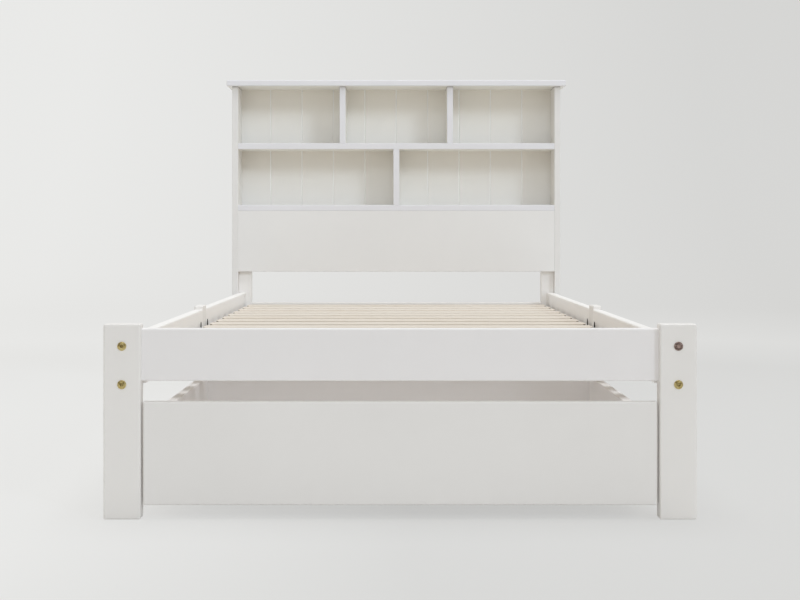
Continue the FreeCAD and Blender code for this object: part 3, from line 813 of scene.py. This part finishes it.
def wheelShape():
    look = castorLook
    full, half, bore, hub = look["wheel"], look["wheelHalf"], look["bore"], look["hub"]
    rim, web = full - look["rimDepth"], half - look["webRecess"]
    chamfer, slope, corner = look["chamfer"], look["slope"], look["wheelCorner"]
    side = [
        (bore, half - chamfer), (bore + chamfer, half), (hub - slope, half), (hub, half - slope),
        (hub + slope, web + chamfer), (hub + 2 * slope, web), (rim - 2 * slope, web),
        (rim - slope, web + chamfer), (rim, half - chamfer), (rim + chamfer, half)]
    for step in range(look["wheelCornerSteps"] + 1):
        angle = math.radians(90 * step / look["wheelCornerSteps"])
        side.append((
            full - corner * (1 - math.sin(angle)), half - corner * (1 - math.cos(angle))))
    mesh = bmesh.new()
    points = [mesh.verts.new((radius, 0, along)) for radius, along in side + mirrored(side)]
    edges = [mesh.edges.new(pair) for pair in zip(points, points[1:] + points[:1])]
    bmesh.ops.spin(
        mesh, geom=points + edges, cent=(0, 0, 0), axis=(0, 0, 1), angle=math.tau,
        steps=look["wheelSegments"], use_merge=True)
    size = (rim - hub + look["ribSunk"], look["ribWidth"], look["webRecess"])
    offset = half - look["ribBelowFace"] - look["webRecess"] / 2
    for number in range(look["ribs"]):
        turn = Matrix.Rotation(math.tau * number / look["ribs"], 3, "Z")
        for face in (-1, 1):
            rib = bmesh.ops.create_cube(mesh, size=1)["verts"]
            bmesh.ops.scale(mesh, verts=rib, vec=size)
            bmesh.ops.translate(mesh, verts=rib, vec=((hub + rim) / 2, 0, face * offset))
            bmesh.ops.rotate(mesh, verts=rib, cent=(0, 0, 0), matrix=turn)
    return mesh


def addPlate(mesh, top):
    look = castorLook
    size = (look["plate"], look["plate"], look["thickness"])
    plate = bmesh.ops.create_cube(mesh, size=1)["verts"]
    corners = {
        edge for vert in plate for edge in vert.link_edges
        if edge.verts[0].co.xy == edge.verts[1].co.xy}
    bmesh.ops.scale(mesh, verts=plate, vec=size)
    bmesh.ops.translate(mesh, verts=plate, vec=(0, 0, top - look["thickness"] / 2))
    bmesh.ops.bevel(
        mesh, geom=list(corners), offset=look["plateCorner"], affect="EDGES",
        segments=look["plateCornerSteps"], profile=0.5, material=-1)


def addEar(mesh, under, side):
    # round at the axle, and as wide as the bend below the plate
    look = castorLook
    sideways = Matrix.Rotation(math.radians(90), 3, "Y")
    ear = []
    for offset in (look["earInner"], look["earInner"] + look["thickness"]):
        ring = bmesh.ops.create_circle(
            mesh, cap_ends=False, radius=look["earRadius"], segments=look["earSegments"])["verts"]
        bmesh.ops.rotate(mesh, verts=ring, cent=(0, 0, 0), matrix=sideways)
        bend = [mesh.verts.new((0, y, under)) for y in (-look["earTop"], look["earTop"])]
        bmesh.ops.translate(mesh, verts=ring + bend, vec=(side * offset, 0, 0))
        ear += ring + bend
    hull = bmesh.ops.convex_hull(mesh, input=ear)
    left = {
        item for item in hull["geom_interior"] + hull["geom_unused"]
        if isinstance(item, bmesh.types.BMVert)}
    bmesh.ops.delete(mesh, geom=list(left), context="VERTS")


def bracketShape(rise):
    # the axle is at the origin, and the plate's top is at this rise above it
    look = castorLook
    under = rise - look["thickness"]
    mesh, screw = bmesh.new(), bmesh.new()
    addPlate(mesh, rise)
    for side in sides.values():
        addEar(mesh, under, side)
    head = scaledHead(look["screwHead"], look["screwRadius"], look["screwHeight"])
    stackRings(screw, head, look["screwSegments"])
    inset = look["plate"] / 2 - look["screwInset"]
    for x in (-inset, inset):
        for y in (-inset, inset):
            setIn(mesh, screw, (0, 0, -1), (x, y, under))
    return mesh


def axleShape():
    look = castorLook
    seat = look["earInner"] + look["thickness"]
    end = [(look["axle"], seat)]
    end += scaledHead(look["rivetHead"], look["rivet"], look["rivetHeight"], seat)
    mesh = bmesh.new()
    stackRings(mesh, mirrored(end) + end, look["axleSegments"])
    return mesh


def makeCastors():
    names = [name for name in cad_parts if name.startswith("castor_wheel_")]
    low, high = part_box(names[0])
    bracket = bracketShape(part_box("castor_brackets")[1].z - (low.z + high.z) / 2)
    axle, wheel = axleShape(), wheelShape()
    brackets, axles = bmesh.new(), bmesh.new()
    for name in names:
        low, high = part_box(name)
        centre = (low + high) / 2
        setIn(brackets, bracket, (0, 0, 1), centre)
        setIn(axles, axle, (1, 0, 0), centre)
        mesh = bmesh.new()
        setIn(mesh, wheel, (1, 0, 0), centre)
        piece = name.replace("castor_wheel_", "wheel_")
        addPiece(piece, mesh, castorBlack, name, name)
    addPiece("castorBrackets", brackets, zinc, "drawer", "castor_brackets")
    addPiece("castorAxles", axles, zinc, "drawer", "castor_axles")


makeBedBolts()
makeStudsAndNuts()
makeSlatScrews()
makeCastors()
print("fastenings and castors made")

# the canvas is what the camera sees: it glows evenly, most on its left, and catches the bed's
# shadow on its floor; the bounce floor isn't seen, but throws light back up under the bed
stageLook = {
    "radius": 9.5,
    "cove": 3.2,
    "coveSteps": 12,
    "height": 6.0,
    "segments": 72,
    "mergeWithin": 0.1 * mm,
    "roughness": 0.9,
    "tone": (0.18, 0.18, 0.177),
    "glowTint": (1.0, 1.0, 0.985),
    # the glow goes from one strength to the other across these places
    "floorGlow": (0.637, 0.522),
    "floorAcross": (-0.6, 0.02),
    "wallGlow": (0.69, 0.555),
    "wallAcross": (-2.6, 2.6),
    # distances from the bed's middle between which the floor's glow gives way to the wall's
    "floorToWall": (2.2, 3.4),
    "bounceTone": (0.80, 0.795, 0.775),
    "bounceDrop": 2 * mm,
}


def mattFinish(name, tone):
    material, tree, shader = newMaterial(name)
    shader.inputs["Base Color"].default_value = (*tone, 1.0)
    shader.inputs["Roughness"].default_value = stageLook["roughness"]
    shader.inputs["Specular IOR Level"].default_value = 0.0
    return material, tree, shader


def addToStage(name, mesh, material, **sight):
    part = newObject(name, mesh, material)
    for ray, seen in sight.items():
        setattr(part, "visible_" + ray, seen)


def canvasFinish():
    look = stageLook
    material, tree, shader = mattFinish("paleCanvas", look["tone"])
    shader.inputs["Emission Color"].default_value = (*look["glowTint"], 1.0)
    place = objectCoords(tree)
    across = takeApart(tree, place)["X"]
    distance = vectorMath(tree, "LENGTH", vectorMath(tree, "MULTIPLY", place, (1, 1, 0)))
    glow = tree.nodes.new("ShaderNodeMix")
    wallShare = spread(tree, distance, (0, 1), look["floorToWall"])
    tree.links.new(wallShare, glow.inputs["Factor"])
    for socket, name in (("A", "floor"), ("B", "wall")):
        strength = spread(tree, across, look[name + "Glow"], look[name + "Across"])
        tree.links.new(strength, glow.inputs[socket])
    tree.links.new(glow.outputs["Result"], shader.inputs["Emission Strength"])
    return material


def makeCanvas():
    look = stageLook
    mesh = bmesh.new()
    cove, flat = look["cove"], look["radius"] - look["cove"]
    points = [(0, 0, 0), (flat / 2, 0, 0), (flat, 0, 0)]
    for step in range(1, look["coveSteps"] + 1):
        angle = math.radians(90 * step / look["coveSteps"])
        points.append((flat + cove * math.sin(angle), 0, cove * (1 - math.cos(angle))))
    points.append((look["radius"], 0, look["height"]))
    verts = [mesh.verts.new(point) for point in points]
    edges = [mesh.edges.new(pair) for pair in zip(verts, verts[1:])]
    bmesh.ops.spin(
        mesh, geom=verts + edges, cent=(0, 0, 0), axis=(0, 0, 1), angle=math.tau,
        steps=look["segments"], use_merge=True)
    bmesh.ops.remove_doubles(mesh, verts=mesh.verts, dist=look["mergeWithin"])
    bmesh.ops.recalc_face_normals(mesh, faces=mesh.faces)
    addToStage("canvas", mesh, canvasFinish(), diffuse=False, shadow=False, transmission=False)


def makeBounceFloor():
    look = stageLook
    mesh = bmesh.new()
    bmesh.ops.create_circle(
        mesh, cap_ends=True, radius=look["radius"], segments=look["segments"])
    bmesh.ops.translate(mesh, verts=mesh.verts, vec=(0, 0, -look["bounceDrop"]))
    material = mattFinish("bounceFloor", look["bounceTone"])[0]
    addToStage("bounceFloor", mesh, material, camera=False, glossy=False)


# two far soft suns stand for big soft boxes, because they light the foot and the head alike
lightLook = {
    "box": {
        "place": (0.2, 0.0, 4.6), "target": (0, 0, 0), "size": (3.5, 3.5), "power": 118.0,
        "tint": (0.96, 1.0, 1.04)},
    "suns": {
        "rightKey": {"azimuth": 42, "elevation": 25, "spread": 14, "strength": 0.53},
        "frontKey": {"azimuth": 0, "elevation": 28, "spread": 16, "strength": 0.21},
    },
    "sunPlace": (0, 0, 3),
    "sunTint": (0.89, 1.0, 1.13),
    "ambient": 0.446,
    "ambientTint": (1.05, 1.0, 0.93),
}


def addLamp(name, light, tint, place, direction):
    light.color = tint
    lamp = bpy.data.objects.new(name, light)
    lamp.location = place
    lamp.rotation_euler = direction.to_track_quat("-Z", "Y").to_euler()
    lamp.visible_camera = False
    bpy.context.scene.collection.objects.link(lamp)


def makeLights():
    look = lightLook
    box = look["box"]
    light = bpy.data.lights.new("topBox", "AREA")
    light.shape = "RECTANGLE"
    light.size, light.size_y = box["size"]
    light.energy = box["power"]
    downwards = Vector(box["target"]) - Vector(box["place"])
    addLamp("topBox", light, box["tint"], box["place"], downwards)
    for name, sun in look["suns"].items():
        light = bpy.data.lights.new(name, "SUN")
        light.energy = sun["strength"]
        light.angle = math.radians(sun["spread"])
        turn, rise = math.radians(sun["azimuth"]), math.radians(sun["elevation"])
        towards = Vector((
            -math.sin(turn) * math.cos(rise), math.cos(turn) * math.cos(rise), -math.sin(rise)))
        addLamp(name, light, look["sunTint"], look["sunPlace"], towards)
    world = bpy.data.worlds.new("studio")
    world.use_nodes = True
    background = world.node_tree.nodes["Background"]
    background.inputs["Color"].default_value = (*look["ambientTint"], 1.0)
    background.inputs["Strength"].default_value = look["ambient"]
    bpy.context.scene.world = world


# the photo is level, with its lens shifted down; pixels are of the 800 x 600 frame
cameraLook = {
    "imageWidth": 800,
    "imageHeight": 600,
    "sensor": 36.0,
    "focalPixels": 1452.0,
    "vanishX": 391.5,
    "vanishY": 235.1,
    "beforeFootPosts": 2420 * mm,
    "height": 474.3 * mm,
    "sideways": -14.44 * mm,
}


def makeCamera():
    look = cameraLook
    camera = bpy.data.cameras.new("photoCamera")
    camera.sensor_width = look["sensor"]
    camera.lens = look["focalPixels"] / look["imageWidth"] * look["sensor"]
    camera.shift_x = (look["imageWidth"] / 2 - look["vanishX"]) / look["imageWidth"]
    camera.shift_y = (look["vanishY"] - look["imageHeight"] / 2) / look["imageWidth"]
    rig = bpy.data.objects.new("photoCamera", camera)
    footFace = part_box("foot_post_left")[0].y
    rig.location = (look["sideways"], footFace - look["beforeFootPosts"], look["height"])
    rig.rotation_euler = (math.radians(90), 0, 0)
    bpy.context.scene.collection.objects.link(rig)
    bpy.context.scene.camera = rig


makeCanvas()
makeBounceFloor()
makeLights()
makeCamera()
bpy.context.scene.view_settings.view_transform = "Standard"
print("stage, lights and camera made")
